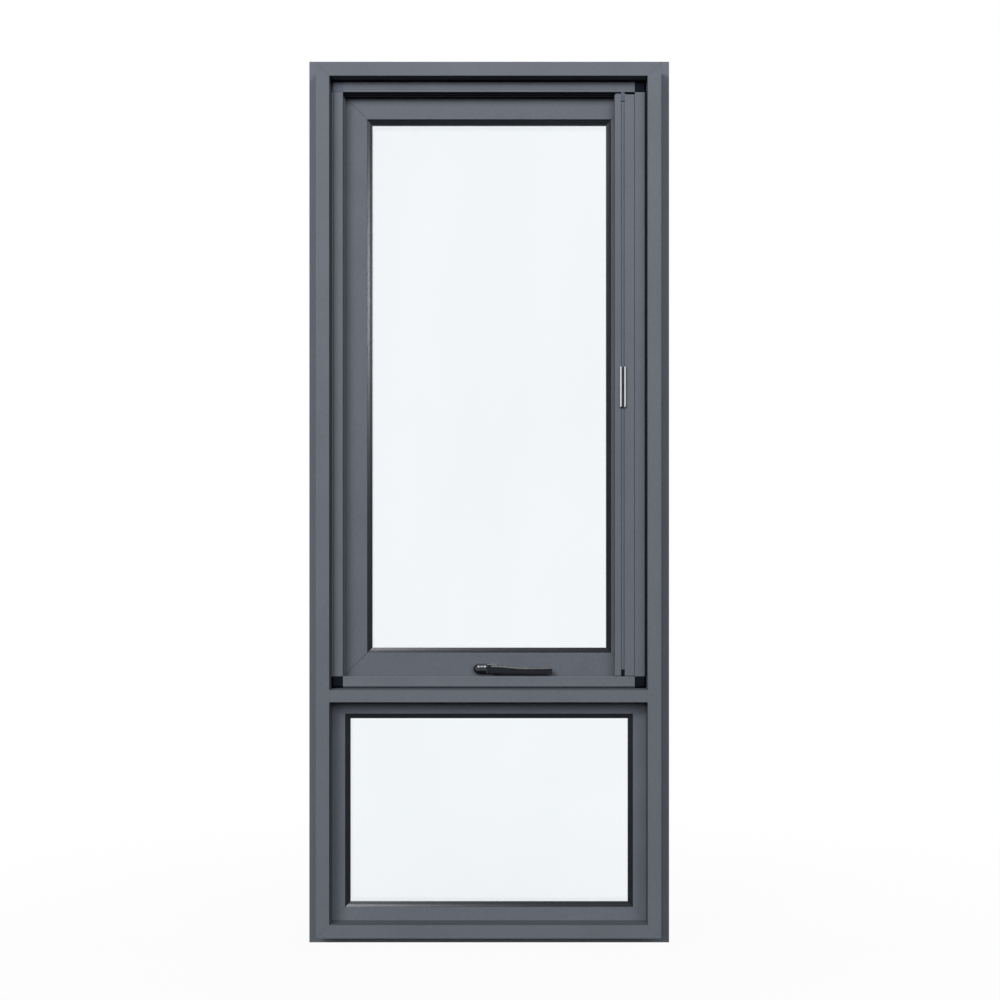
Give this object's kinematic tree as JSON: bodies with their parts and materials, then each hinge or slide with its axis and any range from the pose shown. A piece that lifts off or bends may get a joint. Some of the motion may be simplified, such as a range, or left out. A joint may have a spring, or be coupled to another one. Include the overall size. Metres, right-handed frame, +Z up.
{
  "type": "awning window",
  "caption": "Aluminium awning window with a top-hung sash over a fixed light, a lever handle, a retractable insect screen on the room side and a fixing flange round the frame.",
  "frame": {"origin": "middle of the bottom fixing flange, on its face against the wall and on its screw line", "axes": "+X to the right seen from the room, +Y from the room to the outside, +Z up"},
  "size_m": [0.732, 0.115, 1.792],
  "materials": {
    "frame_coating": "matte",
    "sash_coating": "matte",
    "screen_coating": "satin",
    "glass": "polished",
    "seal_rubber": "matte",
    "spacer": "satin",
    "black_plastic": "satin",
    "grey_plastic": "satin",
    "chrome": "polished",
    "handle_black": "satin"
  },
  "bodies": {
    "window": {"frame_head": "frame_coating", "frame_sill": "frame_coating", "frame_left_jamb": "frame_coating", "frame_right_jamb": "frame_coating", "transom": "frame_coating", "sash_top_rail": "sash_coating", "sash_bottom_rail": "sash_coating", "sash_left_stile": "sash_coating", "sash_right_stile": "sash_coating", "fixed_bead_bottom": "frame_coating", "fixed_bead_top": "frame_coating", "fixed_bead_left": "frame_coating", "fixed_bead_right": "frame_coating", "sash_bead_bottom": "frame_coating", "sash_bead_top": "frame_coating", "sash_bead_left": "frame_coating", "sash_bead_right": "frame_coating", "screen_head_track": "screen_coating", "screen_sill_track": "screen_coating", "screen_receiver": "screen_coating", "screen_side_frame": "screen_coating", "screen_pull_bar": "screen_coating", "fixed_inner_pane": "glass", "fixed_outer_pane": "glass", "sash_inner_pane": "glass", "sash_outer_pane": "glass", "fixed_inner_gasket": "seal_rubber", "fixed_outer_gasket": "seal_rubber", "sash_inner_gasket": "seal_rubber", "sash_outer_gasket": "seal_rubber", "weather_seal": "seal_rubber", "fixed_spacer": "spacer", "sash_spacer": "spacer", "screen_corner_top_right": "black_plastic", "screen_corner_bottom_left": "black_plastic", "screen_corner_bottom_right": "black_plastic", "screen_corner_top_left": "grey_plastic", "screen_bar_cap_top": "grey_plastic", "screen_bar_cap_bottom": "black_plastic", "screen_pull_grip": "chrome", "handle_base": "handle_black"},
    "handle": {"handle_lever": "handle_black"}
  },
  "joints": [
    {"name": "handle_turn", "type": "hinge", "parent": "window", "child": "handle", "pos_m": [0.005, -0.02, 0.5466], "axis": [0, -1, 0], "range_deg": [0, 90]}
  ]
}
